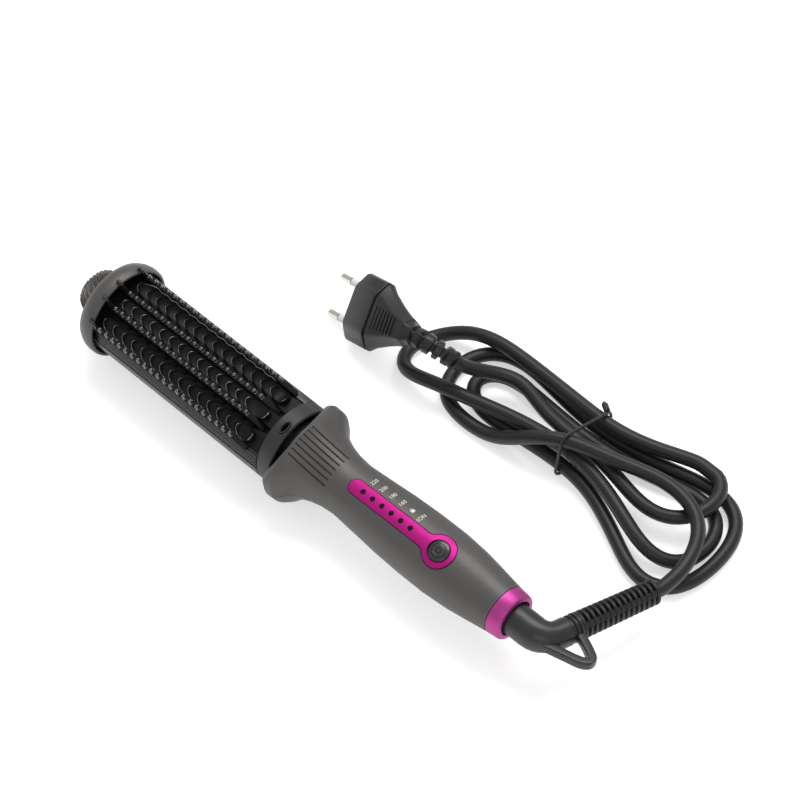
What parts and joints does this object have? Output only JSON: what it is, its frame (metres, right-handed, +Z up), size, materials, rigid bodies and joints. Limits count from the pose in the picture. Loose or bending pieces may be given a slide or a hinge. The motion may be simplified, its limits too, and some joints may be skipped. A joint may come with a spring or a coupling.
{
  "type": "heated round hair brush",
  "caption": "Heated round styling brush: ball-tipped combs over arched fins, ribbed cool tip, flared grip with a keyhole key strip, swivel cord elbow with hanging loop, tied cord and flat plug.",
  "frame": {"origin": "on the surface that the brush lies on, under the middle of its length, without the cord", "axes": "+X along the brush from the cool tip to the cord end, +Z up from the surface it lies on, button side up and towards -Y, cord on the +Y side"},
  "size_m": [0.3217, 0.1618, 0.051],
  "materials": {
    "handle_grey": "satin metallic lacquer",
    "barrel_grey": "satin metallic lacquer",
    "collar_grey": "satin",
    "comb_black": "gloss",
    "button_black": "gloss",
    "satin_black": "satin",
    "cord_black": "satin",
    "tie_black": "matte",
    "plug_black": "satin",
    "trim_magenta": "metallic lacquer",
    "pin_nickel": "polished nickel",
    "core_aluminium": "extruded",
    "white_ceramic": "matte",
    "white_plastic": "satin",
    "board_green": "satin",
    "lens_dark": "smoked gloss",
    "contact_brass": "polished"
  },
  "bodies": {
    "brush": {"back_shell": "barrel_grey", "barrel_socket": "satin_black", "brush_block": "satin_black", "collar": "collar_grey", "comb_row_a": "comb_black", "comb_row_b": "comb_black", "comb_row_c": "comb_black", "comb_row_d": "comb_black", "control_board": "board_green", "cool_tip": "handle_grey", "edge_rail_left": "comb_black", "edge_rail_right": "comb_black", "end_cap": "handle_grey", "end_ring": "trim_magenta", "heater_clamp": "pin_nickel", "heater_core": "core_aluminium", "heater_element": "white_ceramic", "heater_fins_1": "comb_black", "heater_fins_2": "comb_black", "heater_fins_3": "comb_black", "heater_lead_1": "white_plastic", "heater_lead_2": "white_plastic", "ion_generator": "satin_black", "ion_needle": "pin_nickel", "ion_outlet": "satin_black", "key_switch": "satin_black", "led_lens_1": "lens_dark", "led_lens_2": "lens_dark", "led_lens_3": "lens_dark", "led_lens_4": "lens_dark", "led_lens_5": "lens_dark", "led_lens_6": "lens_dark", "lower_shell": "handle_grey", "shell_screw_1": "pin_nickel", "shell_screw_2": "pin_nickel", "swivel_sleeve": "white_plastic", "temperature_sensor": "white_plastic", "thermal_fuse": "white_ceramic", "trim_strip": "trim_magenta", "upper_shell": "handle_grey"},
    "button": {"power_button": "button_black"},
    "swivel": {"swivel_elbow": "satin_black", "contact_ring_1": "contact_brass", "contact_ring_2": "contact_brass", "strain_relief": "cord_black", "cord_lead": "cord_black", "cord_hank": "cord_black", "cord_to_plug": "cord_black", "cord_tie": "tie_black", "plug_body": "plug_black", "pin_sleeve_1": "white_plastic", "pin_sleeve_2": "white_plastic", "plug_pin_1": "pin_nickel", "plug_pin_2": "pin_nickel"}
  },
  "joints": [
    {"name": "power_button_slide", "type": "slide", "parent": "brush", "child": "button", "axis": [0.0084, 0.3214, -0.9469], "range_m": [0, 0.0006], "stiffness_N_per_m": 400},
    {"name": "cord_swivel", "type": "hinge", "parent": "brush", "child": "swivel", "pos_m": [0.11984, 0, 0.02699], "axis": [1, 0, 0.0089], "continuous": true}
  ]
}
